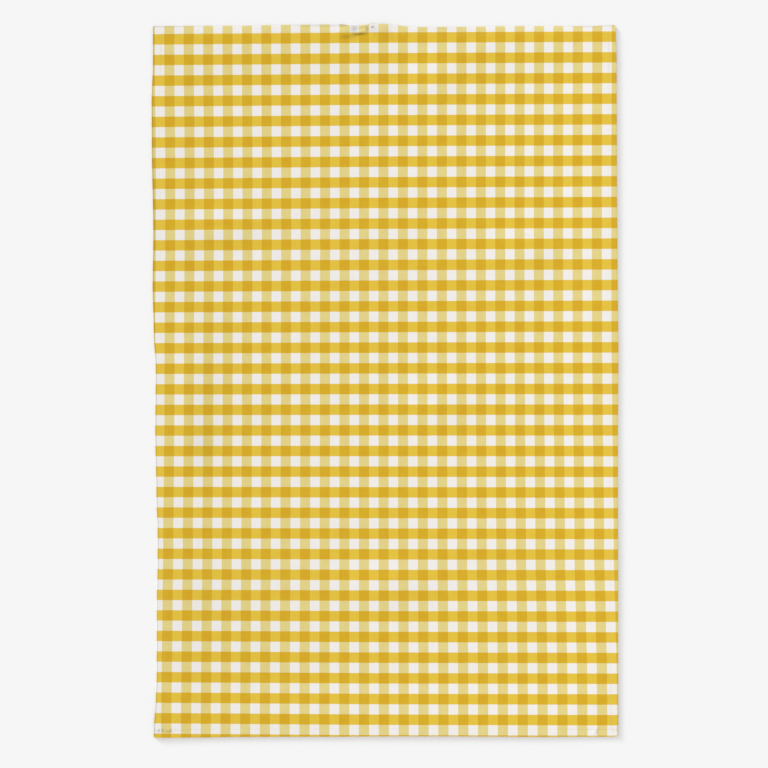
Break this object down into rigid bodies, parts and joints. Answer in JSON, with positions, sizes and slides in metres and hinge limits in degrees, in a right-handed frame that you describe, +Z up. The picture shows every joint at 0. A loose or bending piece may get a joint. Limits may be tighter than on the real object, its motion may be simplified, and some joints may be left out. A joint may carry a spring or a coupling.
{
  "type": "tea towel",
  "caption": "Rectangular cotton tea towel in a yellow and white gingham check, hemmed all round, lying flat with its face up, for drying dishes.",
  "frame": {"origin": "on the surface that the towel lies on, in the middle of its outline", "axes": "+X across the towel, to the right as seen from above; +Y up its length, towards the puckered hem; +Z up from the surface"},
  "size_m": [0.4592, 0.702, 0.0031],
  "materials": {
    "gingham_cotton": "matt plain-weave cotton, checked in yellow on white"
  },
  "bodies": {
    "root": {"tea_towel": "gingham_cotton"}
  },
  "joints": []
}
